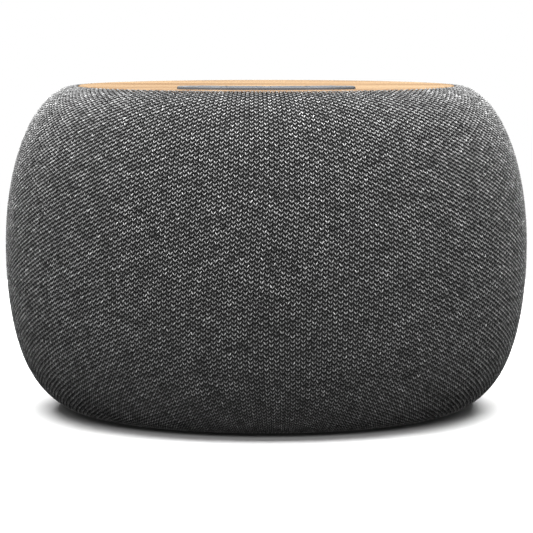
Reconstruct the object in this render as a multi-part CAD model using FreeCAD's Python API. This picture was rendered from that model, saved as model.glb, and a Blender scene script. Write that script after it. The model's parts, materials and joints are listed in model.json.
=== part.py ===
"""A fabric-wrapped smart speaker: a round pebble body with a wooden top plate.

Millimetres. +Z is up, the front faces -Y, and the origin is the centre of the footprint.
The body is a solid of revolution. Each sub-part is one function that returns its solids,
and every piece is its own node in parts/.
"""
import FreeCAD
import Part
import math
import os

Vector = FreeCAD.Vector
UP = Vector(0, 0, 1)
BACK = Vector(0, 1, 0)
ORIGIN = Vector(0, 0, 0)

# ---------------------------------------------------------------- outer form
body_radius = 105.0         # at the waist
waist_height = 68.5
crown_radius = 77.0         # where the shoulder turns level
crown_height = 131.0
sole_radius = 72.6          # where the underside turns level
sole_height = 1.2
upper_fullness = 2.0        # 2 is an ellipse, more is squarer
lower_fullness = 2.185
outline_steps = 14          # spline points in each quarter

# ---------------------------------------------------------------- walls and clearances
knit_thickness = 1.2
soft_gap = 0.3              # a soft piece from whatever it covers
shell_wall = 3.0
slide_gap = 0.3             # round a key, a cone or a plunger
seat_gap = 0.1              # round a fixed piece that drops into a hole
screw_gap = 0.05            # round a screw's shank

# ---------------------------------------------------------------- top plate and key bar
plate_radius = 75.7
plate_rise = 0.35           # above the cloth
plate_round = 0.8
plate_border = 0.35         # between the plate's edge and the cloth
bar_outer_radius = 69.5
bar_depth = 11.0
bar_half_angle = 31.2
bar_rise = 1.2              # bezel above the plate
bar_corner = 5.0            # nearly full-round ends
bar_round = 0.6             # along the bezel's top edge
bezel_rim = 1.2
bezel_floor = 1.5
key_rise = 0.1              # keys above the bezel
key_travel = 0.4
key_skirt = 0.2             # left under a pressed key
key_half_angle = 5.9
key_corner = 1.0
key_angles = {"key_mute": -20.0, "key_volume_down": -7.3, "key_volume_up": 7.3, "key_action": 20.0}
stem_radius = 2.0
light_half_angle = 0.8
mic_angle = 28.6
mic_port_radius = 0.5
mic_length = 3.0
mic_width = 4.0
mic_height = 1.1
led_length = 1.6
led_width = 3.2
led_height = 0.8

# ---------------------------------------------------------------- chassis and control board
chassis_thickness = 3.0
chassis_window_margin = 1.5
chassis_window_corner = 2.5
chassis_window_half_angle = 30.2
board_thickness = 1.2
control_board_margin = 1.6
control_board_half_angle = 37.0
control_screw_angle = 34.5
switch_height = 2.3
switch_side = 6.0
top_boss_circle = 70.0
top_boss_angles = (48.0, 132.0, 228.0, 312.0)
top_boss_height = 14.0
boss_radius = 3.6

# ---------------------------------------------------------------- base
base_radius = 66.0
base_thickness = 3.0
base_lift = 1.0             # underside above the table
base_gap = 0.4              # round the base plate
foot_inner_radius = 46.0
foot_outer_radius = 56.0
foot_recess = 0.8
flange_inner_radius = 56.5
base_boss_circle = 61.0
base_boss_angles = (45.0, 135.0, 225.0, 315.0)
base_boss_height = 10.0

# ---------------------------------------------------------------- screws
screw_radius = 1.2
screw_head_radius = 2.1
screw_head_height = 1.4
screw_grip = 7.0            # thread below the clamped piece
board_screw_grip = 3.4

# ---------------------------------------------------------------- grille
slot_width = 3.0
slot_pitch = 6.0
slot_reach = 63.0           # outermost slot centre
slot_rows = ((36.0, 62.0), (69.0, 96.0))

# ---------------------------------------------------------------- speaker box
box_half_width = 71.0
box_front = -62.0           # outer face of the baffle
box_back = 50.0
box_floor = 26.0
box_roof = 106.0
box_wall = 3.0
box_corner = 8.0
baffle_thickness = 4.0
gasket_thickness = 1.0
box_boss_inset = 6.5
box_boss_depth = 12.0
leg_x = 28.0
leg_y = 25.0
leg_radius = 5.0
board_post_height = 6.0
board_post_radius = 3.2

# ---------------------------------------------------------------- full-range drivers
driver_x = 36.0
driver_z = 66.0
driver_flange_radius = 34.0
driver_flange = 2.0
driver_screw_circle = 31.0
basket_radius = 27.0
basket_wall = 2.0
basket_depth = 22.0         # from the baffle's face to the basket's floor
basket_windows = 4
window_width = 22.0
roll_reach = 2.8            # from the cone's edge to the basket's wall
cone_thickness = 0.8
cone_depth = 13.0
driver_travel = 2.5
coil_inner_radius = 10.0
coil_thickness = 0.6
coil_length = 17.0
pole_gap = 0.6              # coil to the pole and to the washer
washer_radius = 21.0
washer_thickness = 4.0
magnet_radius = 24.0
magnet_thickness = 12.0
magnet_bore = 13.0
yoke_thickness = 4.0
surround_thickness = 0.6
surround_land = 1.6         # glued on the basket's rim, each side of its wall
roll_steps = 10
spider_thickness = 0.6
spider_wave = 0.5
spider_waves = 3
spider_steps = 12
cone_neck = 1.3             # depth of paper where the cone meets the coil
dust_cap_height = 3.4
dust_cap_steps = 8

# ---------------------------------------------------------------- passive radiator
radiator_flange_radius = 36.0
radiator_flange = 2.0
radiator_hole = 31.0
radiator_opening = 29.0
radiator_screw_circle = 33.4
radiator_cone_radius = 25.0
radiator_cone_thickness = 1.6
radiator_mass_radius = 12.0
radiator_mass_depth = 4.0
radiator_land = 0.6         # the surround's roll ends this far over the frame

# ---------------------------------------------------------------- electronics
main_board_half_x = 55.0
main_board_half_y = 35.0
main_board_thickness = 1.6
main_board_corner = 3.0
main_hole_inset = 5.0
pad_front = 2.0
pad_depth = 24.0
antenna_x = 26.0
antenna_y = 48.0
antenna_length = 36.0
antenna_width = 8.0
antenna_thickness = 0.6
amplifier_side = 14.0
amplifier_height = 1.6
processor_x = 14.0
processor_y = 8.0
processor_side = 13.0
processor_height = 1.2
memory_x = 34.0
memory_length = 10.0
memory_width = 8.0
memory_height = 1.0
inductor_x = -40.0
inductor_places = (-8.0, 4.0)
inductor_side = 8.0
inductor_height = 5.0
capacitor_y = 22.0
capacitor_places = (-40.0, -28.0, -16.0)
capacitor_radius = 4.0
capacitor_height = 7.5
shield_length = 24.0
shield_width = 22.0
shield_height = 2.6
shield_wall = 0.4
heat_sink_x = -22.0
heat_sink_y = 6.0
heat_sink_side = 24.0
heat_sink_height = 5.0
heat_sink_floor = 1.5
heat_sink_fins = 6

# ---------------------------------------------------------------- rear ports
port_z = 39.0
port_half_width = 23.0
port_half_height = 11.0
port_corner = 3.0
port_gap = 0.3
port_wall = 2.0
port_face = 94.0            # visible floor of the recess
port_floor = 2.0
port_seat = 88.0            # flat inner face of the shell's pad
port_flange = 2.0
port_flange_reach = 6.0
port_frame_rim = 2.0        # frame beyond the panel's flange
port_screw_z = 9.5
port_post_x = 24.5
port_post_radius = 3.0
port_board_face = 77.6      # side that carries the jacks
dc_x = -12.0
dc_width = 9.0
dc_height = 11.0
dc_bore_radius = 2.75
dc_bore_depth = 9.5
dc_pin_radius = 1.0
dc_pin_recess = 0.5
aux_x = 2.0
aux_width = 7.0
aux_bore_radius = 1.8
aux_bore_depth = 14.0
port_hole_radius = 3.4      # in front of each jack
pair_x = 15.0
pair_radius = 2.6
pair_collar = 1.0
pair_collar_thickness = 1.5
pair_proud = 1.0
pair_travel = 0.4
pair_switch_height = 4.0

# ---------------------------------------------------------------- wiring
connector_y = -27.0
connector_length = 14.0
connector_width = 5.0
connector_height = 4.5
port_connector_x = 30.0
port_connector_y = 29.0
port_connector_height = 3.0
ribbon_x = 24.0
ribbon_front = -60.0
ribbon_width = 10.0
ribbon_thickness = 0.3
wire_radius = 1.2
wire_rise = 3.2             # over the main board
wire_hole_x = 58.0
wire_hole_y = -46.0
wire_start_x = 32.0
wire_bend_x = 52.0
wire_bend_y = -36.0
wire_end_x = 56.0           # beside the basket
wire_end_z = 86.0
port_wire_x = 22.0
port_wire_z = 46.0
port_wire_bend_y = 60.0

# ---------------------------------------------------------------- levels worked out from the above
shell_inset = knit_thickness + soft_gap
inner_inset = shell_inset + shell_wall
chassis_top = crown_height - inner_inset
chassis_bottom = chassis_top - chassis_thickness
plate_top = crown_height + plate_rise
bezel_top = plate_top + bar_rise
key_top = bezel_top + key_rise
bezel_floor_top = chassis_top + bezel_floor
key_bottom = bezel_floor_top + key_travel + key_skirt
control_board_bottom = chassis_bottom - board_thickness
chassis_radius = crown_radius - slide_gap
switch_top = chassis_bottom + switch_height
stem_bottom = switch_top + key_travel + screw_gap
bar_inner_radius = bar_outer_radius - bar_depth
bar_middle_radius = bar_outer_radius - bar_depth / 2
base_top = base_lift + base_thickness
baffle_back = box_front + baffle_thickness
tub_front = baffle_back + gasket_thickness
box_middle_z = (box_floor + box_roof) / 2
main_board_bottom = box_roof + board_post_height
main_board_top = main_board_bottom + main_board_thickness
basket_floor = box_front + basket_depth
coil_outer_radius = coil_inner_radius + coil_thickness
pole_radius = coil_inner_radius - pole_gap
cone_radius = basket_radius - basket_wall - roll_reach
cone_front = box_front - driver_flange / 2
cone_back = cone_front + cone_depth
surround_inner_radius = cone_radius + slide_gap
surround_outer_radius = basket_radius + surround_land
washer_front = basket_floor
magnet_front = washer_front + washer_thickness
yoke_front = magnet_front + magnet_thickness
port_frame_half_width = port_half_width + port_flange_reach + port_frame_rim
port_frame_half_height = port_half_height + port_flange_reach / 2 + port_frame_rim
port_board_back = port_board_face - board_thickness
port_inner_face = port_face - port_floor


# ================================================================ helpers
def cylinder(radius, low, high, x=0.0, y=0.0):
    return Part.makeCylinder(radius, high - low, Vector(x, y, low), UP)


def cylinder_y(radius, front, back, x=0.0, z=0.0):
    return Part.makeCylinder(radius, back - front, Vector(x, front, z), BACK)


def ring_y(inner, outer, front, back, x, z):
    return cylinder_y(outer, front, back, x, z).cut(cylinder_y(inner, front, back, x, z))


def block(x_low, x_high, y_low, y_high, z_low, z_high):
    return Part.makeBox(x_high - x_low, y_high - y_low, z_high - z_low, Vector(x_low, y_low, z_low))


def rounded(solid, radius, direction):
    """Fillets the straight edges of a block that run along one direction."""
    edges = []
    for edge in solid.Edges:
        if isinstance(edge.Curve, Part.Line):
            run = edge.tangentAt(edge.FirstParameter)
            if abs(run.dot(direction)) > 0.99:
                edges.append(edge)
    return solid.makeFillet(radius, edges)


def edges_at(solid, level):
    """The edges that lie flat at one height."""
    return [edge for edge in solid.Edges if edge.BoundBox.ZMin > level - screw_gap]


def turned_y(outline, x, z):
    """Revolves a closed (radius, y) outline about a line parallel to Y."""
    points = [Vector(radius, y, 0) for radius, y in outline]
    face = Part.Face(Part.makePolygon(points + points[:1]))
    solid = face.revolve(ORIGIN, BACK, 360)
    solid.translate(Vector(x, 0, z))
    return solid


def on_circle(radius, degrees):
    """Plan position on a circle, with 0 degrees at the front and positive to the right."""
    angle = math.radians(degrees)
    return radius * math.sin(angle), -radius * math.cos(angle)


def sector(inner, outer, half_angle, low, high, middle=0.0):
    """A curved bar about the Z axis, centred on the given angle."""
    def corner(radius, degrees):
        x, y = on_circle(radius, degrees)
        return Vector(x, y, low)
    left, right = middle - half_angle, middle + half_angle
    edges = [
        Part.Arc(corner(outer, left), corner(outer, middle), corner(outer, right)).toShape(),
        Part.makeLine(corner(outer, right), corner(inner, right)),
        Part.Arc(corner(inner, right), corner(inner, middle), corner(inner, left)).toShape(),
        Part.makeLine(corner(inner, left), corner(outer, left)),
    ]
    return Part.Face(Part.Wire(edges)).extrude(Vector(0, 0, high - low))


def grown_sector(inner, outer, half_angle, gap, low, high, middle=0.0):
    """The same bar made larger by a gap on every side."""
    extra = math.degrees(gap / inner)
    return sector(inner - gap, outer + gap, half_angle + extra, low, high, middle)


def screw(x, y, seat, length, up=1.0):
    """A pan-head screw whose head sits on the seat height; its shank runs away from the head."""
    head = cylinder(screw_head_radius, min(seat, seat + up * screw_head_height),
                    max(seat, seat + up * screw_head_height), x, y)
    shank = cylinder(screw_radius, min(seat, seat - up * length), max(seat, seat - up * length), x, y)
    return head.fuse(shank).removeSplitter()


def screw_y(x, seat, z, length, out=-1.0):
    """A pan-head screw along Y with its head on the side that `out` points to."""
    head = cylinder_y(screw_head_radius, min(seat, seat + out * screw_head_height),
                      max(seat, seat + out * screw_head_height), x, z)
    shank = cylinder_y(screw_radius, min(seat, seat - out * length), max(seat, seat - out * length), x, z)
    return head.fuse(shank).removeSplitter()


def shank_hole(x, y, low, high):
    return cylinder(screw_radius + screw_gap, low, high, x, y)


def shank_hole_y(x, z, front, back):
    return cylinder_y(screw_radius + screw_gap, front, back, x, z)


def save(name, *solids):
    shape = solids[0] if len(solids) == 1 else Part.makeCompound(list(solids))
    shape.exportStep("parts/%s.step" % name)


# ================================================================ the round body
def outline_point(upper, angle, inset):
    """A point of the body's half section, moved inwards along its normal."""
    centre = crown_radius if upper else sole_radius
    height = crown_height - waist_height if upper else waist_height - sole_height
    fullness = upper_fullness if upper else lower_fullness
    width = body_radius - centre
    cosine, sine = max(math.cos(angle), 0.0), max(math.sin(angle), 0.0)
    r_normal = cosine ** (2 - 2 / fullness) / width
    z_normal = sine ** (2 - 2 / fullness) / height
    size = math.hypot(r_normal, z_normal)
    radius = centre + width * cosine ** (2 / fullness) - inset * r_normal / size
    rise = height * sine ** (2 / fullness) - inset * z_normal / size
    return Vector(radius, 0, waist_height + rise if upper else waist_height - rise)


def outline_edge(inset):
    """The curved half section, from the underside up to the crown, as one spline."""
    steps = [math.pi / 2 * step / outline_steps for step in range(outline_steps + 1)]
    points = [outline_point(False, angle, inset) for angle in reversed(steps)]
    points += [outline_point(True, angle, inset) for angle in steps[1:]]
    spline = Part.BSplineCurve()
    spline.interpolate(points)
    return spline.toShape(), points[0], points[-1]


def skin_section(outside, inside, top_radius, bottom_radius):
    """The section between two insets, with level lips at the crown and the underside."""
    outer, outer_low, outer_high = outline_edge(outside)
    inner, inner_low, inner_high = outline_edge(inside)
    low_out, low_in = Vector(bottom_radius, 0, outer_low.z), Vector(bottom_radius, 0, inner_low.z)
    high_out, high_in = Vector(top_radius, 0, outer_high.z), Vector(top_radius, 0, inner_high.z)
    edges = [
        outer, Part.makeLine(outer_high, high_out), Part.makeLine(high_out, high_in),
        Part.makeLine(high_in, inner_high), inner, Part.makeLine(inner_low, low_in),
        Part.makeLine(low_in, low_out), Part.makeLine(low_out, outer_low),
    ]
    return Part.Face(Part.Wire(Part.__sortEdges__(edges)))


def core(inset):
    """The whole body inside one inset, as a solid."""
    curve, low, high = outline_edge(inset)
    low_axis, high_axis = Vector(0, 0, low.z), Vector(0, 0, high.z)
    edges = [
        curve, Part.makeLine(high, high_axis),
        Part.makeLine(high_axis, low_axis), Part.makeLine(low_axis, low),
    ]
    return Part.Face(Part.Wire(Part.__sortEdges__(edges))).revolve(ORIGIN, UP, 360)


def port_block(gap, front, back):
    """The rounded rectangle of the rear recess, grown by a gap."""
    solid = block(-port_half_width - gap, port_half_width + gap, front, back,
                  port_z - port_half_height - gap, port_z + port_half_height + gap)
    return rounded(solid, port_corner, BACK)


def fabric_sleeve():
    section = skin_section(0.0, knit_thickness, plate_radius + plate_border, base_radius + base_gap)
    sleeve = section.revolve(ORIGIN, UP, 360)
    return sleeve.cut(port_block(port_gap, port_seat, body_radius))


def grille_cutters(direction):
    """Upright slots through the shell wall, in two rows with a rib between them."""
    count = int(slot_reach // slot_pitch)
    near, far = min(0, direction * body_radius), max(0, direction * body_radius)
    cutters = []
    for index in range(-count, count + 1):
        x = index * slot_pitch
        for low, high in slot_rows:
            in_the_way = direction > 0 and abs(x) < port_half_width + port_flange_reach + slot_width
            clear = port_z + port_half_height + port_flange_reach + slot_width
            bottom = max(low, clear) if in_the_way else low
            if high - bottom > slot_width:
                cutters.append(block(x - slot_width / 2, x + slot_width / 2, near, far, bottom, high))
    return cutters


def shell_half(direction):
    """One half of the carrier that the cloth is stretched over: -1 is the front, +1 the rear."""
    section = skin_section(shell_inset, inner_inset, plate_radius + plate_border, flange_inner_radius)
    if direction < 0:
        section.rotate(ORIGIN, UP, 180)
    shell = section.revolve(ORIGIN, UP, 180)
    shell = shell.cut(grille_cutters(direction))
    shell = shell.cut(cylinder(base_radius + slide_gap, 0, base_top))
    inside = core(inner_inset - shell_wall / 2)
    additions = []
    for degrees in top_boss_angles:
        x, y = on_circle(top_boss_circle, degrees)
        if y * direction > 0:
            post = cylinder(boss_radius, chassis_bottom - top_boss_height, chassis_bottom, x, y)
            rib = block(0, body_radius - top_boss_circle, -boss_radius / 2, boss_radius / 2,
                        chassis_bottom - top_boss_height, chassis_bottom)
            rib.rotate(ORIGIN, UP, degrees - 90)
            rib.translate(Vector(x, y, 0))
            additions.append(post.fuse(rib).common(inside))
    for degrees in base_boss_angles:
        x, y = on_circle(base_boss_circle, degrees)
        if y * direction > 0:
            additions.append(cylinder(boss_radius, base_top, base_top + base_boss_height, x, y))
    shell = shell.fuse(additions).removeSplitter()
    holes = []
    for degrees in top_boss_angles:
        x, y = on_circle(top_boss_circle, degrees)
        holes.append(shank_hole(x, y, chassis_bottom - screw_grip - slide_gap, chassis_bottom))
    for degrees in base_boss_angles:
        x, y = on_circle(base_boss_circle, degrees)
        holes.append(shank_hole(x, y, base_top, base_top + screw_grip + slide_gap))
    return shell.cut(holes)


def front_shell():
    return shell_half(-1)


def port_frame_block(gap):
    """The block of the frame round the rear recess, grown by a gap."""
    half_width, half_height = port_frame_half_width + gap, port_frame_half_height + gap
    return block(-half_width, half_width, port_seat, body_radius, port_z - half_height, port_z + half_height)


def rear_shell():
    return shell_half(1).cut(port_frame_block(seat_gap))


def port_frame():
    """A thick frame bonded into the rear shell; the port panel screws to its flat inner face."""
    frame = port_frame_block(0.0).common(core(shell_inset))
    cuts = [port_block(port_gap, port_seat, body_radius)]
    for x, z in port_screws():
        cuts.append(shank_hole_y(x, z, port_seat, port_seat + board_screw_grip + slide_gap))
    return frame.cut(cuts)


# ================================================================ top plate, keys, chassis
def top_plate():
    plate = cylinder(plate_radius, chassis_top, plate_top)
    plate = plate.makeFillet(plate_round, edges_at(plate, plate_top))
    slot = grown_sector(bar_inner_radius, bar_outer_radius, bar_half_angle, seat_gap, chassis_top, plate_top)
    return plate.cut(rounded(slot, bar_corner + seat_gap, UP))


def light_sector(gap, low, high):
    return grown_sector(bar_inner_radius + bezel_rim * 2, bar_outer_radius - bezel_rim * 2, light_half_angle,
                        gap, low, high)


def key_sector(gap, low, high, middle):
    return grown_sector(bar_inner_radius + bezel_rim + slide_gap, bar_outer_radius - bezel_rim - slide_gap,
                        key_half_angle, gap, low, high, middle)


def key_bezel():
    bar = sector(bar_inner_radius, bar_outer_radius, bar_half_angle, chassis_top, bezel_top)
    bar = rounded(bar, bar_corner, UP)
    bezel = bar.makeFillet(bar_round, edges_at(bar, bezel_top))
    cuts = [light_sector(seat_gap, chassis_top, bezel_top)]
    for middle in key_angles.values():
        well = key_sector(slide_gap, bezel_floor_top, bezel_top, middle)
        cuts.append(rounded(well, key_corner + slide_gap, UP))
        x, y = on_circle(bar_middle_radius, middle)
        cuts.append(cylinder(stem_radius + slide_gap, chassis_top, bezel_floor_top, x, y))
    for side in (-mic_angle, mic_angle):
        x, y = on_circle(bar_middle_radius, side)
        cuts.append(cylinder(mic_port_radius, chassis_top, bezel_top, x, y))
    return bezel.cut(cuts)


def key_cap(middle):
    cap = rounded(key_sector(0.0, key_bottom, key_top, middle), key_corner, UP)
    x, y = on_circle(bar_middle_radius, middle)
    return cap.fuse(cylinder(stem_radius, stem_bottom, key_bottom, x, y)).removeSplitter()


def light_guide():
    return light_sector(0.0, chassis_top, bezel_top)


def chassis_window():
    """The opening under the key bar that the switches stand in."""
    window = sector(bar_inner_radius + chassis_window_margin, bar_outer_radius - chassis_window_margin,
                    chassis_window_half_angle, chassis_bottom, chassis_top)
    return rounded(window, chassis_window_corner, UP)


def control_screw_places():
    return [on_circle(bar_middle_radius, side) for side in (-control_screw_angle, control_screw_angle)]


def top_chassis():
    disc = cylinder(chassis_radius, chassis_bottom, chassis_top)
    cuts = [chassis_window()]
    for degrees in top_boss_angles:
        x, y = on_circle(top_boss_circle, degrees)
        cuts += [shank_hole(x, y, chassis_bottom, chassis_top), countersink(x, y, screw_gap)]
    for x, y in control_screw_places():
        cuts.append(shank_hole(x, y, chassis_bottom, chassis_bottom + chassis_thickness - slide_gap))
    return disc.cut(cuts)


def countersink(x, y, gap):
    """The conical head of a flush screw, grown by a gap."""
    return Part.makeCone(screw_radius + gap, screw_head_radius + gap, screw_head_height,
                         Vector(x, y, chassis_top - screw_head_height), UP)


def chassis_screws():
    """Countersunk flush with the chassis, under the wooden plate."""
    places = [on_circle(top_boss_circle, degrees) for degrees in top_boss_angles]
    return [cylinder(screw_radius, chassis_bottom - screw_grip, chassis_top, x, y)
            .fuse(countersink(x, y, 0.0)).removeSplitter() for x, y in places]


def control_board():
    board = sector(bar_inner_radius - control_board_margin, bar_outer_radius + control_board_margin,
                   control_board_half_angle, control_board_bottom, chassis_bottom)
    return board.cut([shank_hole(x, y, control_board_bottom, chassis_bottom)
                      for x, y in control_screw_places()])


def turned_block(length, width, low, high, radius, degrees):
    """A small block that faces the Z axis at a place on the key bar."""
    solid = block(-length / 2, length / 2, -width / 2, width / 2, low, high)
    solid.rotate(ORIGIN, UP, degrees)
    x, y = on_circle(radius, degrees)
    solid.translate(Vector(x, y, 0))
    return solid


def tact_switches():
    """One under each key and a taller one behind the pairing button."""
    half = switch_side / 2
    pair = block(pair_x - half, pair_x + half, port_board_face, port_board_face + pair_switch_height,
                 port_z - half, port_z + half)
    keys = [turned_block(switch_side, switch_side, chassis_bottom, switch_top, bar_middle_radius, middle)
            for middle in key_angles.values()]
    return keys + [pair]


def microphones():
    top = chassis_bottom + mic_height
    return [turned_block(mic_length, mic_width, chassis_bottom, top, bar_middle_radius, side)
            for side in (-mic_angle, mic_angle)]


def status_led():
    top = chassis_bottom + led_height
    return turned_block(led_length, led_width, chassis_bottom, top, bar_middle_radius, 0.0)


# ================================================================ base
def leg_places():
    return [(x, y) for x in (-leg_x, leg_x) for y in (-leg_y, leg_y)]


def base_plate():
    plate = cylinder(base_radius, base_lift, base_top)
    groove = cylinder(foot_outer_radius, base_lift, base_lift + foot_recess)
    groove = groove.cut(cylinder(foot_inner_radius, base_lift, base_lift + foot_recess))
    cuts = [groove]
    for x, y in base_screw_places():
        cuts.append(shank_hole(x, y, base_lift, base_top))
        cuts.append(cylinder(screw_head_radius + seat_gap, base_lift, base_lift + screw_head_height, x, y))
    return plate.cut(cuts)


def base_screw_places():
    return [on_circle(base_boss_circle, degrees) for degrees in base_boss_angles] + leg_places()


def foot_ring():
    ring = cylinder(foot_outer_radius, 0, base_lift + foot_recess)
    return ring.cut(cylinder(foot_inner_radius, 0, base_lift + foot_recess))


def base_screws():
    seat = base_lift + screw_head_height
    return [screw(x, y, seat, base_top - seat + screw_grip, -1.0) for x, y in base_screw_places()]


# ================================================================ speaker box
def box_boss_places():
    side = box_half_width - box_boss_inset
    low, high = box_floor + box_boss_inset, box_roof - box_boss_inset
    return [(x, z) for x in (-side, 0.0, side) for z in (low, high)]


def driver_places():
    return {"left": -driver_x, "right": driver_x}


def driver_screw_places():
    """Screws of both drivers, set at 45 degrees round each one."""
    reach = driver_screw_circle * math.sqrt(0.5)
    return [(x + side * reach, driver_z + level * reach)
            for x in driver_places().values() for side in (-1, 1) for level in (-1, 1)]


def radiator_screw_places():
    reach = radiator_screw_circle * math.sqrt(0.5)
    return [(side * reach, box_middle_z + level * reach) for side in (-1, 1) for level in (-1, 1)]


def box_slab(front, back, inset=0.0):
    half = box_half_width - inset
    slab = block(-half, half, front, back, box_floor + inset, box_roof - inset)
    return rounded(slab, box_corner - inset, BACK)


def baffle():
    cuts = [cylinder_y(basket_radius + seat_gap, box_front, baffle_back, x, driver_z)
            for x in driver_places().values()]
    cuts += [shank_hole_y(x, z, box_front, baffle_back) for x, z in box_boss_places() + driver_screw_places()]
    return box_slab(box_front, baffle_back).cut(cuts)


def box_gasket():
    return box_slab(baffle_back, tub_front).cut(box_slab(baffle_back, tub_front, box_wall))


def speaker_tub():
    tub = box_slab(tub_front, box_back).cut(box_slab(tub_front, box_back - box_wall, box_wall))
    additions = []
    for x, z in box_boss_places():
        post = cylinder_y(boss_radius, tub_front, tub_front + box_boss_depth, x, z)
        outwards = box_wall if z < box_middle_z else -box_wall
        web = block(x - boss_radius / 2, x + boss_radius / 2, tub_front, tub_front + box_boss_depth,
                    min(z, z - outwards * 2), max(z, z - outwards * 2))
        additions.append(post.fuse(web).common(box_slab(tub_front, box_back)))
    additions += [cylinder(leg_radius, base_top, box_floor + box_wall / 2, x, y) for x, y in leg_places()]
    additions += [cylinder(board_post_radius, box_roof - box_wall / 2, main_board_bottom, x, y)
                  for x, y in main_board_holes()]
    tub = tub.fuse(additions).removeSplitter()
    cuts = [cylinder_y(radiator_hole, box_back - box_wall, box_back, 0, box_middle_z)]
    cuts += [shank_hole_y(x, z, tub_front, tub_front + screw_grip + slide_gap) for x, z in box_boss_places()]
    cuts += [shank_hole_y(x, z, box_back - box_wall, box_back) for x, z in radiator_screw_places()]
    cuts += [shank_hole(x, y, base_top, base_top + screw_grip + slide_gap) for x, y in leg_places()]
    cuts += [cylinder(wire_radius + seat_gap, box_roof - box_wall, box_roof, side * wire_hole_x, wire_hole_y)
             for side in (-1, 1)]
    cuts += [shank_hole(x, y, main_board_bottom - board_screw_grip - slide_gap, main_board_bottom)
             for x, y in main_board_holes()]
    return tub.cut(cuts)


def box_screws():
    return [screw_y(x, box_front, z, tub_front - box_front + screw_grip) for x, z in box_boss_places()]


def driver_screws():
    """The same short screw holds both drivers and the radiator."""
    front = [screw_y(x, box_front - driver_flange, z, driver_flange + baffle_thickness - slide_gap)
             for x, z in driver_screw_places()]
    rear = [screw_y(x, box_back + radiator_flange, z, radiator_flange + box_wall - slide_gap, 1.0)
            for x, z in radiator_screw_places()]
    return front + rear


def damping_pad():
    """A block of wadding that fills the tub from wall to wall behind the drivers."""
    return box_slab(pad_front, pad_front + pad_depth, box_wall + soft_gap)


# ================================================================ full-range drivers
def driver_frame(x):
    inside = basket_radius - basket_wall
    frame = turned_y([
        (inside, box_front - driver_flange), (driver_flange_radius, box_front - driver_flange),
        (driver_flange_radius, box_front), (basket_radius, box_front),
        (basket_radius, basket_floor), (magnet_bore, basket_floor),
        (magnet_bore, basket_floor - basket_wall), (inside, basket_floor - basket_wall),
    ], x, driver_z)
    cuts = [shank_hole_y(sx, sz, box_front - driver_flange, box_front)
            for sx, sz in driver_screw_places() if abs(sx - x) < driver_flange_radius]
    for index in range(basket_windows):
        window = block(basket_radius - 2 * basket_wall, basket_radius + basket_wall,
                       baffle_back + basket_wall, basket_floor - 2 * basket_wall,
                       -window_width / 2, window_width / 2)
        window.rotate(ORIGIN, BACK, index * 360.0 / basket_windows + 45)
        window.translate(Vector(x, 0, driver_z))
        cuts.append(window)
    return frame.cut(cuts)


def washer(x):
    return ring_y(coil_outer_radius + pole_gap, washer_radius, washer_front, magnet_front, x, driver_z)


def magnet(x):
    return ring_y(magnet_bore, magnet_radius, magnet_front, yoke_front, x, driver_z)


def yoke(x):
    back = cylinder_y(washer_radius, yoke_front, yoke_front + yoke_thickness, x, driver_z)
    return back.fuse(cylinder_y(pole_radius, washer_front, yoke_front, x, driver_z)).removeSplitter()


def roll(inner, outer, land_outer, seat, thickness, out, x, z):
    """A half-roll edge: a flat land on the frame and one raised roll inside it."""
    middle, reach = (inner + outer) / 2, (outer - inner) / 2
    steps = [math.pi * step / roll_steps for step in range(roll_steps + 1)]
    over = [(middle - reach * math.cos(a), seat + out * (thickness + (reach - thickness) * math.sin(a)))
            for a in steps]
    under = [(middle + (reach - thickness) * math.cos(a), seat + out * (reach - 2 * thickness) * math.sin(a))
             for a in steps]
    outline = over + [(land_outer, seat + out * thickness), (land_outer, seat)] + under + [(inner, seat)]
    return turned_y(outline, x, z)


def surround(x):
    return roll(surround_inner_radius, basket_radius - basket_wall + surround_land, surround_outer_radius,
                box_front - driver_flange, surround_thickness, -1.0, x, driver_z)


def spider(x):
    """A thin corrugated ring that centres the coil."""
    seat = basket_floor - basket_wall - driver_travel
    inner, outer = coil_outer_radius + slide_gap, basket_radius - basket_wall - screw_gap
    steps = [index / spider_steps for index in range(spider_steps + 1)]
    front = [(inner + (outer - inner) * s, seat - spider_wave * math.sin(s * 2 * spider_waves * math.pi) ** 2)
             for s in steps]
    back = [(radius, y + spider_thickness) for radius, y in reversed(front)]
    return turned_y(front + back, x, driver_z)


def cone(x):
    neck = coil_outer_radius + seat_gap
    return turned_y([
        (neck, cone_back), (cone_radius, cone_front), (cone_radius, cone_front - cone_thickness),
        (cone_radius - cone_thickness, cone_front - cone_thickness), (neck, cone_back - cone_neck),
    ], x, driver_z)


def dust_cap(x):
    """A shallow dome glued to the cone over the coil."""
    base = cone_back - cone_neck
    steps = [math.pi / 2 * step / dust_cap_steps for step in range(dust_cap_steps + 1)]
    front = [(coil_outer_radius * math.cos(a), base - dust_cap_height * math.sin(a)) for a in steps]
    return turned_y(front + [(0.0, base)], x, driver_z)


def voice_coil(x):
    front = cone_back - cone_neck
    return ring_y(coil_inner_radius, coil_outer_radius, front, front + coil_length, x, driver_z)


# ================================================================ passive radiator
def radiator_frame():
    front, back = box_back, box_back + radiator_flange
    ring = ring_y(radiator_opening, radiator_flange_radius, front, back, 0, box_middle_z)
    return ring.cut([shank_hole_y(x, z, front, back) for x, z in radiator_screw_places()])


def radiator_surround():
    return roll(radiator_cone_radius + slide_gap, radiator_opening + radiator_land, radiator_hole,
                box_back + radiator_flange, surround_thickness, 1.0, 0, box_middle_z)


def radiator_cone():
    front = box_back + radiator_flange / 2
    disc = cylinder_y(radiator_cone_radius, front, front + radiator_cone_thickness, 0, box_middle_z)
    mass = cylinder_y(radiator_mass_radius, front - radiator_mass_depth, front, 0, box_middle_z)
    return disc.fuse(mass).removeSplitter()


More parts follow.
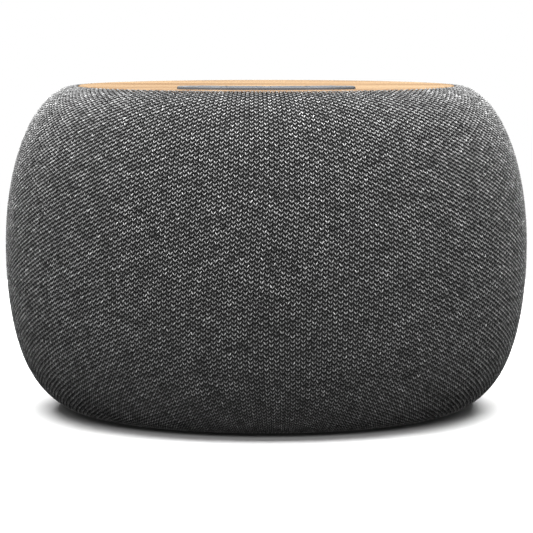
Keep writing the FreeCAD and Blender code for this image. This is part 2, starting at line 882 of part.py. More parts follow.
# ================================================================ electronics
def main_board_holes():
    x, y = main_board_half_x - main_hole_inset, main_board_half_y - main_hole_inset
    return [(side * x, depth * y) for side in (-1, 1) for depth in (-1, 1)]


def main_board():
    board = rounded(block(-main_board_half_x, main_board_half_x, -main_board_half_y, main_board_half_y,
                          main_board_bottom, main_board_top), main_board_corner, UP)
    return board.cut([shank_hole(x, y, main_board_bottom, main_board_top) for x, y in main_board_holes()])


def chip(x, y, length, width, height):
    """A rectangular part that stands on the main board."""
    return block(x - length / 2, x + length / 2, y - width / 2, y + width / 2,
                 main_board_top, main_board_top + height)


def board_components():
    """Amplifier, processor, inductors, capacitors and connectors on the main board."""
    pieces = [
        chip(heat_sink_x, heat_sink_y, amplifier_side, amplifier_side, amplifier_height),
        chip(processor_x, processor_y, processor_side, processor_side, processor_height),
        chip(memory_x, processor_y, memory_length, memory_width, memory_height),
        chip(port_connector_x, port_connector_y, connector_length, connector_width, port_connector_height),
    ]
    for side in (-1, 1):
        pieces.append(chip(side * ribbon_x, connector_y, connector_length, connector_width, connector_height))
    for y in inductor_places:
        pieces.append(chip(inductor_x, y, inductor_side, inductor_side, inductor_height))
    top = main_board_top + capacitor_height
    for x in capacitor_places:
        pieces.append(cylinder(capacitor_radius, main_board_top, top, x, capacitor_y))
    return pieces


def heat_sink():
    low = main_board_top + amplifier_height
    high = low + heat_sink_height
    half = heat_sink_side / 2
    left, front, back = heat_sink_x - half, heat_sink_y - half, heat_sink_y + half
    sink = block(left, left + heat_sink_side, front, back, low, high)
    pitch = heat_sink_side / (heat_sink_fins - 0.5)
    floor = low + heat_sink_floor
    gaps = [block(left + pitch * (index + 0.5), left + pitch * (index + 1), front, back, floor, high)
            for index in range(heat_sink_fins - 1)]
    return sink.cut(gaps)


def shield_can():
    """Pressed cover over the radio section."""
    can = chip(processor_x, processor_y, shield_length, shield_width, shield_height)
    inside = chip(processor_x, processor_y, shield_length - 2 * shield_wall, shield_width - 2 * shield_wall,
                  shield_height - shield_wall)
    return can.cut(inside)


def board_screws():
    """One small screw for the main, control and port boards."""
    main = [screw(x, y, main_board_top, main_board_thickness + board_screw_grip)
            for x, y in main_board_holes()]
    control = [screw(x, y, control_board_bottom, board_thickness + chassis_thickness - 3 * slide_gap, -1.0)
               for x, y in control_screw_places()]
    port = [screw_y(x, port_board_back, port_z, board_thickness + board_screw_grip)
            for x in (-port_post_x, port_post_x)]
    panel = [screw_y(x, port_seat - port_flange, z, port_flange + board_screw_grip) for x, z in port_screws()]
    return main + control + port + panel


def wifi_antennas():
    """Two strip aerials stuck under the chassis at the back."""
    low = chassis_bottom - antenna_thickness
    return [block(side * antenna_x - antenna_length / 2, side * antenna_x + antenna_length / 2,
                  antenna_y, antenna_y + antenna_width, low, chassis_bottom) for side in (-1, 1)]


def ribbon_cable():
    """A flat cable: down from the control board, then back over the main board's connector."""
    low = main_board_top + connector_height + soft_gap
    drop = block(ribbon_x - ribbon_width / 2, ribbon_x + ribbon_width / 2, ribbon_front,
                 ribbon_front + ribbon_thickness, low, control_board_bottom - soft_gap)
    run = block(ribbon_x - ribbon_width / 2, ribbon_x + ribbon_width / 2, ribbon_front, connector_y,
                low, low + ribbon_thickness)
    return drop.fuse(run).removeSplitter()


def wire(points):
    """A lead of straight runs with ball corners."""
    pieces = []
    for start, end in zip(points, points[1:]):
        run = end - start
        pieces.append(Part.makeCylinder(wire_radius, run.Length, start, run))
    for corner in points[1:-1]:
        pieces.append(Part.makeSphere(wire_radius, corner))
    return pieces[0].fuse(pieces[1:]).removeSplitter()


def internal_wires():
    """One lead to each driver through the tub's roof, and one from the port board."""
    level = main_board_top + wire_rise
    leads = []
    for side in (-1, 1):
        leads.append(wire([
            Vector(side * wire_start_x, connector_y, level),
            Vector(side * wire_bend_x, wire_bend_y, level),
            Vector(side * wire_hole_x, wire_hole_y, main_board_bottom),
            Vector(side * wire_hole_x, wire_hole_y, driver_z + basket_radius),
            Vector(side * wire_end_x, wire_hole_y, wire_end_z),
        ]))
    beside_board = port_board_back - wire_radius - seat_gap
    over_connector = main_board_top + port_connector_height + wire_radius + seat_gap
    leads.append(wire([
        Vector(port_wire_x, beside_board, port_wire_z),
        Vector(port_wire_x, beside_board, main_board_bottom),
        Vector(port_connector_x, port_wire_bend_y, over_connector),
        Vector(port_connector_x, port_connector_y, over_connector),
    ]))
    return leads


# ================================================================ rear ports
def port_screws():
    x = port_half_width + port_flange_reach / 2
    return [(side * x, port_z + level * port_screw_z) for side in (-1, 1) for level in (-1, 1)]


def port_panel():
    """A recessed insert with a flat floor, a flange behind the shell and two board posts."""
    outer = port_block(-seat_gap, port_seat - port_flange, body_radius).common(core(soft_gap))
    half_width, half_height = port_half_width + port_flange_reach, port_half_height + port_flange_reach / 2
    flange = rounded(block(-half_width, half_width, port_seat - port_flange, port_seat,
                           port_z - half_height, port_z + half_height), port_corner, BACK)
    posts = [cylinder_y(port_post_radius, port_board_face, port_seat - port_flange, x, port_z)
             for x in (-port_post_x, port_post_x)]
    panel = outer.fuse([flange] + posts).removeSplitter()
    cuts = [
        port_block(-port_wall, port_face, body_radius),
        port_block(-port_wall, port_seat - port_flange, port_inner_face),
        cylinder_y(port_hole_radius, port_inner_face, port_face, dc_x, port_z),
        cylinder_y(port_hole_radius, port_inner_face, port_face, aux_x, port_z),
        cylinder_y(pair_radius + slide_gap, port_inner_face, port_face, pair_x, port_z),
    ]
    cuts += [shank_hole_y(x, z, port_seat - port_flange, port_seat) for x, z in port_screws()]
    cuts += [shank_hole_y(x, port_z, port_board_face, port_board_face + board_screw_grip + slide_gap)
             for x in (-port_post_x, port_post_x)]
    return panel.cut(cuts)


def port_board():
    half_width = port_post_x + boss_radius
    board = rounded(block(-half_width, half_width, port_board_back, port_board_face,
                          port_z - port_half_height, port_z + port_half_height), port_corner, BACK)
    return board.cut([shank_hole_y(x, port_z, port_board_back, port_board_face)
                      for x in (-port_post_x, port_post_x)])


def dc_jack():
    """The power socket and the pin that stands in it."""
    body = block(dc_x - dc_width / 2, dc_x + dc_width / 2, port_board_face, port_inner_face,
                 port_z - dc_height / 2, port_z + dc_height / 2)
    bore_end = port_inner_face - dc_bore_depth
    body = body.cut(cylinder_y(dc_bore_radius, bore_end, port_inner_face, dc_x, port_z))
    pin = cylinder_y(dc_pin_radius, bore_end, port_inner_face - dc_pin_recess, dc_x, port_z)
    return [body, pin]


def aux_jack():
    body = block(aux_x - aux_width / 2, aux_x + aux_width / 2, port_board_face, port_inner_face,
                 port_z - aux_width / 2, port_z + aux_width / 2)
    bore_end = port_inner_face - aux_bore_depth
    return body.cut(cylinder_y(aux_bore_radius, bore_end, port_inner_face, aux_x, port_z))


def pair_button():
    plunger = cylinder_y(pair_radius, port_board_face + pair_switch_height + pair_travel + screw_gap,
                         port_face + pair_proud, pair_x, port_z)
    back = port_inner_face - slide_gap
    collar = cylinder_y(pair_radius + pair_collar, back - pair_collar_thickness, back, pair_x, port_z)
    return plunger.fuse(collar).removeSplitter()


# ================================================================ write every node
def main():
    os.makedirs("parts", exist_ok=True)
    single = [
        fabric_sleeve, front_shell, rear_shell, port_frame, top_plate, key_bezel, light_guide, top_chassis,
        control_board, status_led, base_plate, foot_ring, baffle, box_gasket, speaker_tub, damping_pad,
        radiator_frame, radiator_surround, radiator_cone, main_board, heat_sink, shield_can,
        ribbon_cable, port_panel, port_board, aux_jack, pair_button,
    ]
    groups = [
        chassis_screws, tact_switches, microphones, base_screws, box_screws, driver_screws,
        board_components, board_screws, wifi_antennas, internal_wires, dc_jack,
    ]
    per_driver = [driver_frame, washer, magnet, yoke, surround, spider, cone, dust_cap, voice_coil]
    for make in single:
        save(make.__name__, make())
    for make in groups:
        save(make.__name__, *make())
    for name, middle in key_angles.items():
        save(name, key_cap(middle))
    for side, x in driver_places().items():
        for make in per_driver:
            save("%s_%s" % (side, make.__name__), make(x))


main()
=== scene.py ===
"""Looks of the knit-wrapped smart speaker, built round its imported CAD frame. Metres."""
import json
import math

import bmesh
import bpy
import numpy as np
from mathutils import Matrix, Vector

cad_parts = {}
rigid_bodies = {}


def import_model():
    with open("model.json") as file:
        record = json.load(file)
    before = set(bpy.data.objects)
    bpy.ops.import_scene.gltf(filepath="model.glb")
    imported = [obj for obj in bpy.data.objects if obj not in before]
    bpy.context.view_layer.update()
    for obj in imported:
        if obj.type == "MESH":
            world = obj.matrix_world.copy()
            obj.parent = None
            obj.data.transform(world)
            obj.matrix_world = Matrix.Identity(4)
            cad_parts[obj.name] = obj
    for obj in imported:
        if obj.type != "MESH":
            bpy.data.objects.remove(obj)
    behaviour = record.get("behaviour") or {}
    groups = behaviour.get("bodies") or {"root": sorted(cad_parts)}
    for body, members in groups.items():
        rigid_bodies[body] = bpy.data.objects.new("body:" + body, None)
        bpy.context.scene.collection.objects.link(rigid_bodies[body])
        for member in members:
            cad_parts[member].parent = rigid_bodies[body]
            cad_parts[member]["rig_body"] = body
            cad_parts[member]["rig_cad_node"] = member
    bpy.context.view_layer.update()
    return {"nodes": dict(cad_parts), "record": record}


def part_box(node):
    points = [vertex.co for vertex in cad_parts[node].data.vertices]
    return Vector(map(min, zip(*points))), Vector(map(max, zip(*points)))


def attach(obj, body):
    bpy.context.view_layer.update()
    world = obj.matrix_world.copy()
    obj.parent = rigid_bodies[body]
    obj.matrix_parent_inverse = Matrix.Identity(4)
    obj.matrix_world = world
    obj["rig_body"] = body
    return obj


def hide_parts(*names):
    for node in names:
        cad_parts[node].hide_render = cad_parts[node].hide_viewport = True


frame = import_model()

MM = 0.001
random = np.random.default_rng(7)

# ---------------------------------------------------------------- the body's half section (as the CAD has it)
sleeve_low, sleeve_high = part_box("fabric_sleeve")
plate_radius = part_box("top_plate")[1].x
base_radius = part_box("base_plate")[1].x
body_radius = sleeve_high.x
crown_height = sleeve_high.z
sole_height = sleeve_low.z
waist_height = 68.5 * MM
crown_radius = 77.0 * MM
sole_radius = 72.6 * MM
upper_fullness = 2.0
lower_fullness = 2.185
rim_radius = plate_radius + 0.35 * MM
hem_radius = base_radius + 0.4 * MM
outline_steps = 400             # points in each quarter

# ---------------------------------------------------------------- the knit
wales = 330                     # columns of stitches round the body
panels = 7                      # the same cloth in seven pieces, to keep each mesh light
course_pitch = 1.69 * MM
stitch_sink = 1.02 * MM         # backing cloth below the sleeve's outer face
yarn_radius = 0.235 * MM
yarn_spread = 0.08              # of the thickness, from leg to leg
ridge_height = 0.90 * MM        # middle of a wale above its edges
tuck = 0.30 * MM                # how far a leg's foot goes under the next stitch
hem_clearance = 1.2 * yarn_radius
rim_lift = 0.35 * MM            # the cloth stands a little proud where it turns in beside the plate
rim_lift_power = 8              # a higher power keeps it nearer the rim
heel_lift = 0.75 * MM           # and where it turns in towards the foot
heel_slope = -0.42              # upward part of the normal where the heel is fullest
heel_width = 0.28
leg_rings = 4
leg_rise = 0.80                 # height of a leg, in courses
leg_reach = 0.42                # width of a leg, in wales
leg_foot = 0.02                 # from a leg's foot to the middle of its wale, in wales
leg_across = (-1.0, -0.55, 0.55, 1.0)       # a leg's section, in yarn radii
leg_lift = (-0.7, 0.85, 0.85, -0.7)
leg_corners = len(leg_across)
leg_painted_shade = ((0.25, 0.9, 1.15, 0.8), (0.15, 1.0, 1.0, 0.15))    # painted light and shade along a leg and across it: darker flanks and ends, a lighter middle
end_taper = 0.80                # thickness of a leg's ends
middle_swell = 1.08             # and of its middle
course_jitter = 0.045           # in courses
wale_jitter = 0.025             # in wales
rim_thinning = 0.22             # the yarn is drawn thinner beside the plate
rim_thinning_power = 4
rim_painted_shade = 0.30                # and painted shade there: the yarn darkened where the light from above catches it
rim_painted_shade_power = 12
lean_angle = 0.012              # of the wales' wander
lean_length = 21 * MM
lean_twist = 1.3                # how much its phase changes round the body
lean_start = 0.4
middle_tone = 0.60
yarn_drift = 0.045              # tone changes along the yarn
leg_fleck = 0.075               # and from leg to leg
bright_share = 0.02             # of the legs are flecks of pale fibre
bright_fleck = 0.25
port_reach = 6.0 * MM           # from the port panel's sides in to the cut, and half of it above and below
port_margin = 0.4 * MM          # by which the cut is larger than that


def quarter(inner, rise, fullness, angles):
    """Points and normals of a superellipse quarter, from the waist up, or down where rise is negative."""
    width = body_radius - inner
    power = 2 / fullness
    cosine, sine = np.cos(angles).clip(0), np.sin(angles).clip(0)
    points = np.column_stack([inner + width * cosine ** power, waist_height + rise * sine ** power])
    normals = np.column_stack([cosine ** (2 - power) / width, sine ** (2 - power) / rise])
    return points, normals


def half_section(inset):
    """Points, outward normals and run, from the plate's rim over the crown, down and under to the base."""
    angles = np.linspace(math.pi / 2, 0, outline_steps)
    upper, upper_normals = quarter(crown_radius, crown_height - waist_height, upper_fullness, angles)
    lower, lower_normals = quarter(sole_radius, sole_height - waist_height, lower_fullness, angles[::-1])
    points = np.vstack([[[rim_radius, crown_height]], upper, lower[1:], [[hem_radius, sole_height]]])
    normals = np.vstack([[[0, 1]], upper_normals, lower_normals[1:], [[0, -1]]])
    normals = normals / np.linalg.norm(normals, axis=1)[:, None]
    points = points - normals * inset
    run = np.concatenate([[0], np.cumsum(np.linalg.norm(np.diff(points, axis=0), axis=1))])
    return points, normals, run


def proud(steep):
    """How far the cloth stands off the CAD outline, from its normal's upward part."""
    heel = np.exp(-((steep - heel_slope) / heel_width) ** 2)
    return rim_lift * np.clip(steep, 0, 1) ** rim_lift_power + heel_lift * heel


def mesh_object(name, vertices, faces, smooth=True):
    """A mesh from arrays: vertices (n, 3) and quads or triangles (m, k)."""
    mesh = bpy.data.meshes.new(name)
    count, corners = faces.shape
    mesh.vertices.add(len(vertices))
    mesh.vertices.foreach_set("co", vertices.astype(np.float32).ravel())
    mesh.loops.add(count * corners)
    mesh.loops.foreach_set("vertex_index", faces.astype(np.int32).ravel())
    mesh.polygons.add(count)
    mesh.polygons.foreach_set("loop_start", np.arange(0, count * corners, corners, dtype=np.int32))
    mesh.polygons.foreach_set("use_smooth", np.full(count, smooth))
    mesh.update(calc_edges=True)
    piece = bpy.data.objects.new(name, mesh)
    bpy.context.scene.collection.objects.link(piece)
    return piece


# ---------------------------------------------------------------- materials
class Nodes:
    """A small helper for wiring a Principled material."""

    def __init__(self, name, roughness, metallic=0.0):
        self.material = bpy.data.materials.new(name)
        self.material.use_nodes = True
        self.tree = self.material.node_tree
        self.shader = self.tree.nodes["Principled BSDF"]
        self.shader.inputs["Roughness"].default_value = roughness
        self.shader.inputs["Metallic"].default_value = metallic
        self.place = self.add("ShaderNodeTexCoord").outputs["Object"]

    def add(self, kind, **settings):
        node = self.tree.nodes.new(kind)
        for key, value in settings.items():
            setattr(node, key, value)
        return node

    def link(self, output, target):
        self.tree.links.new(output, target)

    def stretched(self, scale):
        mapping = self.add("ShaderNodeMapping")
        mapping.inputs["Scale"].default_value = scale
        self.link(self.place, mapping.inputs["Vector"])
        return mapping.outputs["Vector"]

    def noise(self, scale, detail=3.0, stretch=(1, 1, 1), distortion=0.0):
        node = self.add("ShaderNodeTexNoise")
        node.inputs["Scale"].default_value = scale
        node.inputs["Detail"].default_value = detail
        node.inputs["Distortion"].default_value = distortion
        self.link(self.stretched(stretch), node.inputs["Vector"])
        return node.outputs["Fac"]

    def ramp(self, value, *stops):
        node = self.add("ShaderNodeValToRGB")
        elements = node.color_ramp.elements
        while len(elements) < len(stops):
            elements.new(0.5)
        for element, (position, colour) in zip(elements, stops):
            element.position = position
            element.color = (*colour, 1)
        self.link(value, node.inputs["Fac"])
        return node.outputs["Color"]

    def mix(self, factor, first, second, blend="MIX"):
        node = self.add("ShaderNodeMix", data_type="RGBA", blend_type=blend)
        node.inputs[0].default_value = factor
        self.link(first, node.inputs[6])
        self.link(second, node.inputs[7])
        return node.outputs[2]

    def colour(self, output):
        self.link(output, self.shader.inputs["Base Color"])

    def rough(self, value, low, high):
        node = self.add("ShaderNodeMapRange")
        node.inputs["To Min"].default_value = low
        node.inputs["To Max"].default_value = high
        self.link(value, node.inputs["Value"])
        self.link(node.outputs["Result"], self.shader.inputs["Roughness"])

    def bump(self, value, distance, strength=1.0):
        node = self.add("ShaderNodeBump")
        node.inputs["Distance"].default_value = distance
        node.inputs["Strength"].default_value = strength
        self.link(value, node.inputs["Height"])
        self.link(node.outputs["Normal"], self.shader.inputs["Normal"])


def shade(colour, factor):
    return tuple(channel * factor for channel in colour)


def yarn_material():
    """Melange yarn: each leg of a stitch has its own grey, darkened by painted shade on its flanks and ends
    and beside the plate, with fine fibres along it.
    """
    m = Nodes("melange_yarn", 0.88)
    tone = m.add("ShaderNodeAttribute", attribute_name="tone").outputs["Fac"]
    grey = m.ramp(tone, (0.0, (0.003, 0.003, 0.003)), (0.25, (0.02, 0.02, 0.02)),
                  (0.6, (0.205, 0.205, 0.205)), (1.0, (0.66, 0.66, 0.66)))
    fibre = m.noise(2600, 2.0, (1, 1, 0.45))
    strands = m.ramp(fibre, (0.3, (0.25, 0.25, 0.25)), (0.7, (0.85, 0.85, 0.85)))
    m.colour(m.mix(0.55, grey, strands, "OVERLAY"))
    m.bump(fibre, 0.00006, 0.6)
    m.shader.inputs["Specular IOR Level"].default_value = 0.06
    return m.material


def backing_material():
    """The dark inner face of the knit, seen only between stitches; its near-black is partly its own colour
    and partly painted shade of the deep gaps.
    """
    m = Nodes("knit_backing", 0.95)
    weave = m.noise(900, 4.0)
    # near-black: partly the cloth's own dark colour, partly painted shade of the gaps between stitches
    m.colour(m.ramp(weave, (0.3, (0.001, 0.001, 0.001)), (0.7, (0.005, 0.005, 0.005))))
    m.bump(weave, 0.0001)
    return m.material


def bamboo_material():
    """Edge-grain bamboo: long pale fibres along X, darker strands, and a darker band at the rim, painted
    shade standing in for a rounded bevel.
    """
    m = Nodes("bamboo", 0.42)
    strips = m.noise(38, 2.0, (0.16, 1, 1), 0.4)
    fibres = m.noise(420, 5.0, (0.022, 1, 1), 0.3)
    strands = m.noise(900, 2.0, (0.012, 1, 1))
    base = m.ramp(strips, (0.36, (0.142, 0.084, 0.041)), (0.64, (0.245, 0.170, 0.096)))
    grain = m.ramp(fibres, (0.34, (0.095, 0.054, 0.026)), (0.60, (0.226, 0.157, 0.090)))
    dark = m.ramp(strands, (0.55, (1, 1, 1)), (0.70, (0.62, 0.47, 0.34)))
    reach = m.add("ShaderNodeVectorMath", operation="LENGTH")
    m.link(m.stretched((1, 1, 0)), reach.inputs[0])
    # painted shade: the outer rim of the top is darkened in place of a rounded bevel's shading
    rim_bevel_shade = m.ramp(reach.outputs["Value"], (plate_radius - 0.8 * MM, (1, 1, 1)),
                  (plate_radius - 0.3 * MM, (0.72, 0.58, 0.44)))
    wood = m.mix(1.0, m.mix(0.4, base, grain), dark, "MULTIPLY")
    m.colour(m.mix(1.0, wood, rim_bevel_shade, "MULTIPLY"))
    m.rough(fibres, 0.50, 0.66)
    m.bump(fibres, 0.00004, 0.5)
    m.shader.inputs["Specular IOR Level"].default_value = 0.15
    return m.material


def moulded(name, colour, roughness, grain=1800, depth=0.00003, coat=0.0, gloss=0.5):
    """Moulded or rubbery surface: slight mottling and a fine spark-eroded texture."""
    m = Nodes(name, roughness)
    mottle = m.noise(60, 3.0)
    fine = m.noise(grain, 3.0)
    m.colour(m.ramp(mottle, (0.3, shade(colour, 0.82)), (0.7, shade(colour, 1.18))))
    m.rough(fine, roughness - 0.08, min(roughness + 0.1, 1.0))
    m.bump(fine, depth, 0.5)
    m.shader.inputs["Coat Weight"].default_value = coat
    m.shader.inputs["Specular IOR Level"].default_value = gloss
    return m.material


def metal(name, colour, roughness, stretch=(1, 1, 12)):
    """Plated or machined metal with fine drawn lines and slight tarnish."""
    m = Nodes(name, roughness, 1.0)
    lines = m.noise(700, 3.0, stretch)
    stain = m.noise(90, 3.0)
    m.colour(m.ramp(stain, (0.3, shade(colour, 0.8)), (0.7, colour)))
    m.rough(lines, roughness - 0.1, roughness + 0.14)
    m.bump(lines, 0.00002, 0.4)
    return m.material


def board_material():
    """Green solder mask with faint copper tracks under it."""
    m = Nodes("board", 0.4)
    tracks = m.add("ShaderNodeTexBrick")
    tracks.inputs["Scale"].default_value = 260
    tracks.inputs["Mortar Size"].default_value = 0.03
    tracks.inputs["Color1"].default_value = (0.012, 0.10, 0.045, 1)
    tracks.inputs["Color2"].default_value = (0.014, 0.13, 0.055, 1)
    tracks.inputs["Mortar"].default_value = (0.04, 0.22, 0.09, 1)
    m.link(m.place, tracks.inputs["Vector"])
    m.colour(tracks.outputs["Color"])
    m.rough(m.noise(500), 0.3, 0.5)
    m.bump(tracks.outputs["Fac"], 0.00003, 0.4)
    return m.material


def wadding_material():
    m = Nodes("wadding", 0.97)
    fluff = m.noise(420, 6.0, (1, 1, 1), 1.2)
    m.colour(m.ramp(fluff, (0.3, (0.16, 0.155, 0.145)), (0.7, (0.5, 0.49, 0.46))))
    m.bump(fluff, 0.0008)
    return m.material


def cone_material():
    """Pressed paper pulp with a matt coating."""
    m = Nodes("cone_paper", 0.8)
    pulp = m.noise(700, 5.0, (1, 1, 1), 0.6)
    m.colour(m.ramp(pulp, (0.3, (0.025, 0.025, 0.027)), (0.7, (0.075, 0.075, 0.078))))
    m.bump(pulp, 0.00008)
    return m.material


slot_materials = {
    "bamboo": bamboo_material(),
    "slate_plastic": moulded("slate_soft_touch", (0.084, 0.089, 0.097), 0.66, 2600, 0.000012, gloss=0.15),
    "light_lens": moulded("frosted_lens", (0.10, 0.12, 0.15), 0.3, 2200, 0.00001, coat=0.4),
    "shell_plastic": moulded("shell_plastic", (0.022, 0.022, 0.024), 0.6),
    "box_plastic": moulded("box_plastic", (0.035, 0.035, 0.038), 0.55, 1300, 0.00005),
    "port_plastic": moulded("port_plastic", (0.020, 0.020, 0.022), 0.5),
    "rubber": moulded("rubber", (0.020, 0.020, 0.021), 0.85, 1400, 0.00006),
    "foam": wadding_material(),
    "board": board_material(),
    "components": moulded("components", (0.03, 0.03, 0.032), 0.5, 2400, 0.00002),
    "screw_steel": metal("screw_steel", (0.50, 0.50, 0.52), 0.36),
    "motor_steel": metal("motor_steel", (0.56, 0.56, 0.57), 0.34),
    "ferrite": moulded("ferrite", (0.035, 0.035, 0.038), 0.62, 900, 0.00008),
    "aluminium": metal("aluminium", (0.80, 0.81, 0.83), 0.32, (12, 1, 1)),
    "cone_paper": cone_material(),
    "copper": metal("copper", (0.75, 0.36, 0.18), 0.3, (1, 20, 1)),
    "wire_insulation": moulded("wire_insulation", (0.32, 0.02, 0.02), 0.55, 1500, 0.00002),
}


def dress_cad_nodes():
    for subpart in frame["record"]["subparts"]:
        material = slot_materials.get(subpart["material_slot"])
        if material:
            node = frame["nodes"][subpart["node"]]
            node.data.materials.clear()
            node.data.materials.append(material)


# ---------------------------------------------------------------- the cloth
def in_port(x, y, z):
    """True where the cloth is cut away round the rear port recess."""
    low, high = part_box("port_panel")
    side = high.x - port_reach + port_margin
    bottom = low.z + port_reach / 2 - port_margin
    top = high.z - port_reach / 2 + port_margin
    return (y > 0) & (np.abs(x) < side) & (z > bottom) & (z < top)


def backing():
    """The sleeve's own shell with its outer face let down below the stitches."""
    source = frame["nodes"]["fabric_sleeve"]
    piece = source.copy()
    piece.data = source.data.copy()
    piece.name = piece.data.name = "knit_backing"
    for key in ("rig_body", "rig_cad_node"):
        if key in piece:
            del piece[key]
    piece.parent = None
    bpy.context.scene.collection.objects.link(piece)
    points, normals, _ = half_section(0.0)
    count = len(piece.data.vertices)
    place = np.empty(count * 3, np.float32)
    piece.data.vertices.foreach_get("co", place)
    place = place.reshape(-1, 3).astype(float)
    radius = np.hypot(place[:, 0], place[:, 1])
    section = np.column_stack([radius, place[:, 2]])
    moved = place.copy()
    for index in range(count):
        gaps = np.linalg.norm(points - section[index], axis=1)
        nearest = int(gaps.argmin())
        inset = float((points[nearest] - section[index]) @ normals[nearest])
        sink = stitch_sink - proud(normals[nearest][1])
        if inset < sink:
            r, z = section[index] - normals[nearest] * (sink - max(inset, 0.0))
            moved[index, :2] *= r / radius[index]
            moved[index, 2] = z
    piece.data.vertices.foreach_set("co", moved.astype(np.float32).ravel())
    piece.data.update()
    piece.data.materials.clear()
    piece.data.materials.append(backing_material())
    return piece


def lean(wale, along):
    """Slow wander of the wales from side to side, as an angle."""
    turn = wale * 2 * math.pi / wales
    phase = along / lean_length + lean_twist * np.sin(2 * turn)
    return lean_angle * np.sin(phase) * np.cos(turn + lean_start)


def melange(wale, course, side):
    """Tone of each leg: the yarn's grey drifts along its course, with lighter and darker flecks."""
    step = wale * 2 + (side > 0)
    length = wales * 2
    drift = random.normal(0, 1, (int(course.max()) + 1, length))
    smooth = (drift + np.roll(drift, 1, 1) + np.roll(drift, 2, 1) + np.roll(drift, 3, 1)) / 2
    fleck = random.normal(0, 1, len(wale))
    bright = (random.random(len(wale)) < bright_share) * bright_fleck
    tone = middle_tone + yarn_drift * smooth[course, step % length] + leg_fleck * fleck + bright
    return np.clip(tone, 0, 1)


def leg_section(t, side, drift, along, pitch):
    """A leg's section at t, from its head at 0 to its foot at 1: its middle and its two directions.

    They lie in the flat cloth, as distances across the wale, down the body and out of the cloth.
    """
    count = len(side)
    x = leg_foot + leg_reach * (1 - t)
    height = ridge_height * math.cos(math.pi * x) - (tuck if t == 1 else 0)
    middle = np.column_stack([(side * x + drift) * pitch, along + (t - 0.5) * leg_rise * course_pitch,
                              np.full(count, height)])
    slope = ridge_height * math.pi * math.sin(math.pi * x)
    forward = np.column_stack([-side * leg_reach * pitch, np.full(count, leg_rise * course_pitch),
                               np.full(count, slope * leg_reach)])
    forward /= np.linalg.norm(forward, axis=1)[:, None]
    outward = np.column_stack([side * slope / pitch, np.zeros(count), np.ones(count)])
    outward -= forward * (outward * forward).sum(axis=1)[:, None]
    outward /= np.linalg.norm(outward, axis=1)[:, None]
    return middle, np.cross(forward, outward), outward


def onto_body(spot, wale, along, pitch, outline):
    """Points of the flat cloth, wrapped round the body."""
    points, normals, run = outline
    level = np.clip(spot[:, 1], run[0], run[-1])
    r = np.interp(level, run, points[:, 0]) + spot[:, 2] * np.interp(level, run, normals[:, 0])
    z = np.interp(level, run, points[:, 1]) + spot[:, 2] * np.interp(level, run, normals[:, 1])
    angle = (wale + 0.5 + spot[:, 0] / pitch) * 2 * math.pi / wales + lean(wale, along)
    return np.column_stack([r * np.sin(angle), -r * np.cos(angle), z])


def leg_faces(side):
    """Quads from ring to ring of every leg, turned over on one side of the wale so that all face out."""
    quads = []
    for ring in range(leg_rings - 1):
        for corner in range(leg_corners - 1):
            a = ring * leg_corners + corner
            quads.append([a, a + 1, a + 1 + leg_corners, a + leg_corners])
    faces = np.array(quads)[None] + (np.arange(len(side)) * leg_rings * leg_corners)[:, None, None]
    faces[side > 0] = faces[side > 0][:, :, ::-1]
    return faces.reshape(-1, 4)


def stitch_legs(outline, first, last):
    """Vertices, faces and tones of the stitch legs of some wales, and the number of legs."""
    points, normals, run = outline
    courses = int((run[-1] - hem_clearance) / course_pitch)
    wale, course, side = np.meshgrid(np.arange(first, last), np.arange(courses), (-1, 1), indexing="ij")
    wale, course, side = wale.ravel(), course.ravel(), side.ravel()
    count = len(wale)
    along = (course + 0.5 + 0.5 * (wale % 2)) * course_pitch
    along = along + random.normal(0, course_jitter, count) * course_pitch
    thick = yarn_radius * (1 + random.normal(0, yarn_spread, count))
    drift = random.normal(0, wale_jitter, count)
    radius = np.interp(along, run, points[:, 0])
    pitch = 2 * math.pi * radius / wales
    steep = np.interp(along, run, normals[:, 1])
    thinning = rim_thinning * steep.clip(0, 1) ** rim_thinning_power
    thick = thick * np.sqrt(radius / body_radius) * (1 - thinning)
    grid = np.empty((count, leg_rings, leg_corners, 3))
    for ring, t in enumerate(np.linspace(0, 1, leg_rings)):
        middle, sideways, outward = leg_section(t, side, drift, along, pitch)
        middle[:, 2] += proud(steep)
        taper = end_taper if t in (0, 1) else middle_swell
        for corner in range(leg_corners):
            spot = sideways * leg_across[corner] + outward * leg_lift[corner]
            spot = middle + spot * (thick * taper)[:, None]
            grid[:, ring, corner] = onto_body(spot, wale, along, pitch, outline)
    keep = ~in_port(*grid[:, leg_rings // 2].mean(axis=1).T) & (along < run[-1] - hem_clearance)
    grid, wale, course, side, steep = grid[keep], wale[keep], course[keep], side[keep], steep[keep]
    # painted shade: the legs beside the plate are darkened, where the light from above catches them
    tone = melange(wale, course, side) * (1 - rim_painted_shade * steep.clip(0, 1) ** rim_painted_shade_power)
    # painted shade on each leg: its flanks and ends darker, its middle a little lighter
    tone = (tone[:, None] * np.outer(*leg_painted_shade).ravel()[None]).clip(0, 1)
    return grid.reshape(-1, 3), leg_faces(side), tone.ravel(), len(grid)


def leg_uv(piece, count):
    """Each leg gets its own cell of the unit square, so its colour can be kept on export."""
    cells = int(math.ceil(math.sqrt(count)))
    cell = 1.0 / cells
    index = np.arange(count)
    corner = np.column_stack([index % cells, index // cells]) * cell
    rings = (np.arange(leg_rings) + 0.5) / leg_rings
    corners = (np.arange(leg_corners) + 0.5) / leg_corners
    local = np.array([[across_leg, along_leg] for along_leg in rings for across_leg in corners]) * cell
    place = (corner[:, None] + local[None]).reshape(-1, 2)
    loops = np.empty(len(piece.data.loops), np.int32)
    piece.data.loops.foreach_get("vertex_index", loops)
    layer = piece.data.uv_layers.new(name="OFBake")
    layer.data.foreach_set("uv", place[loops].astype(np.float32).ravel())


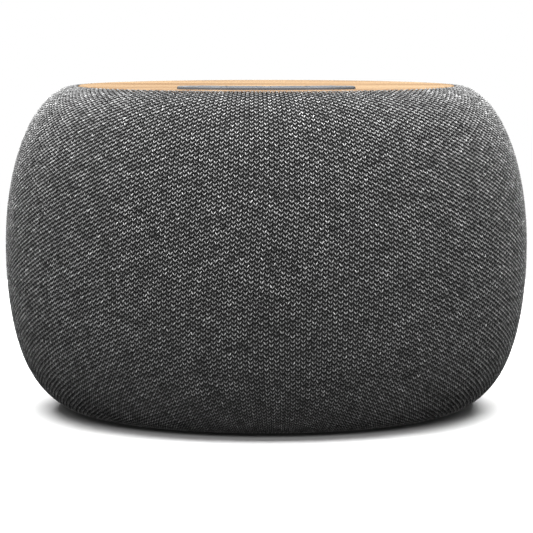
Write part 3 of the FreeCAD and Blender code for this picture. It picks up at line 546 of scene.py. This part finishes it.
def knit():
    outline = half_section(stitch_sink)
    yarn = yarn_material()
    cloth = backing()
    pieces = []
    for panel in range(panels):
        first, last = wales * panel // panels, wales * (panel + 1) // panels
        vertices, faces, tone, count = stitch_legs(outline, first, last)
        piece = mesh_object("knit_stitches_%d" % (panel + 1), vertices, faces)
        attribute = piece.data.attributes.new("tone", "FLOAT", "POINT")
        attribute.data.foreach_set("value", tone.astype(np.float32))
        leg_uv(piece, count)
        piece.data.materials.append(yarn)
        pieces.append(piece)
    for piece in [cloth] + pieces:
        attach(piece, "speaker")
    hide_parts("fabric_sleeve")


# ---------------------------------------------------------------- studio
floor_radius = 0.55
floor_sides = 96
backdrop_radius = 8.0
sky_strength = 0.14


def pale_floor():
    """A disc to stand on, which throws no light back up."""
    turn = np.linspace(0, 2 * math.pi, floor_sides + 1)[:-1]
    rim = np.column_stack([floor_radius * np.cos(turn), floor_radius * np.sin(turn), np.zeros(floor_sides)])
    index = np.arange(floor_sides)
    middle = np.full(floor_sides, floor_sides)
    floor = mesh_object("studio_floor", np.vstack([rim, [[0, 0, 0]]]),
                        np.column_stack([index, (index + 1) % floor_sides, middle]), False)
    m = Nodes("studio_floor", 0.9)
    m.colour(m.ramp(m.noise(3), (0.3, (0.68, 0.68, 0.68)), (0.7, (0.70, 0.70, 0.70))))
    floor.data.materials.append(m.material)
    floor.visible_diffuse = False


def white_backdrop():
    """A glowing dome that only the camera sees."""
    dome = bpy.data.meshes.new("studio_backdrop")
    shape = bmesh.new()
    bmesh.ops.create_icosphere(shape, subdivisions=4, radius=backdrop_radius)
    shape.to_mesh(dome)
    shape.free()
    backdrop = bpy.data.objects.new("studio_backdrop", dome)
    bpy.context.scene.collection.objects.link(backdrop)
    paper = bpy.data.materials.new("studio_backdrop")
    paper.use_nodes = True
    tree = paper.node_tree
    tree.nodes.remove(tree.nodes["Principled BSDF"])
    glow = tree.nodes.new("ShaderNodeEmission")
    tree.links.new(glow.outputs["Emission"], tree.nodes["Material Output"].inputs["Surface"])
    dome.materials.append(paper)
    for rays in ("visible_diffuse", "visible_glossy", "visible_transmission", "visible_shadow"):
        setattr(backdrop, rays, False)


def soft_sky():
    world = bpy.data.worlds.new("studio")
    world.use_nodes = True
    world.node_tree.nodes["Background"].inputs["Color"].default_value = (1, 1, 1, 1)
    world.node_tree.nodes["Background"].inputs["Strength"].default_value = sky_strength
    bpy.context.scene.world = world


def softbox(name, place, aim, size, watts):
    light = bpy.data.lights.new(name, "AREA")
    light.shape = "RECTANGLE"
    light.size, light.size_y = size
    light.energy = watts
    holder = bpy.data.objects.new(name, light)
    holder.location = place
    holder.rotation_euler = (Vector(aim) - Vector(place)).to_track_quat("-Z", "Y").to_euler()
    bpy.context.scene.collection.objects.link(holder)


camera_distance = 1.10
camera_height = 0.1625
camera_pitch = math.radians(5.433)
camera_lens = 184.2
camera_side = 0.0004


def camera():
    data = bpy.data.cameras.new("camera")
    data.lens = camera_lens
    data.sensor_width = 36
    data.shift_x = camera_side
    holder = bpy.data.objects.new("camera", data)
    holder.location = (0, -camera_distance, camera_height)
    holder.rotation_euler = (math.pi / 2 - camera_pitch, 0, 0)
    bpy.context.scene.collection.objects.link(holder)
    bpy.context.scene.camera = holder


dress_cad_nodes()
knit()
pale_floor()
white_backdrop()
soft_sky()
softbox("top_light", place=(0, -0.08, 1.1), aim=(0, 0, 0.1), size=(1.7, 1.5), watts=84)
softbox("front_light", place=(0, -2.2, 1.1), aim=(0, 0, 0.07), size=(1.2, 0.8), watts=31)
camera()
bpy.context.scene.view_settings.view_transform = "Standard"
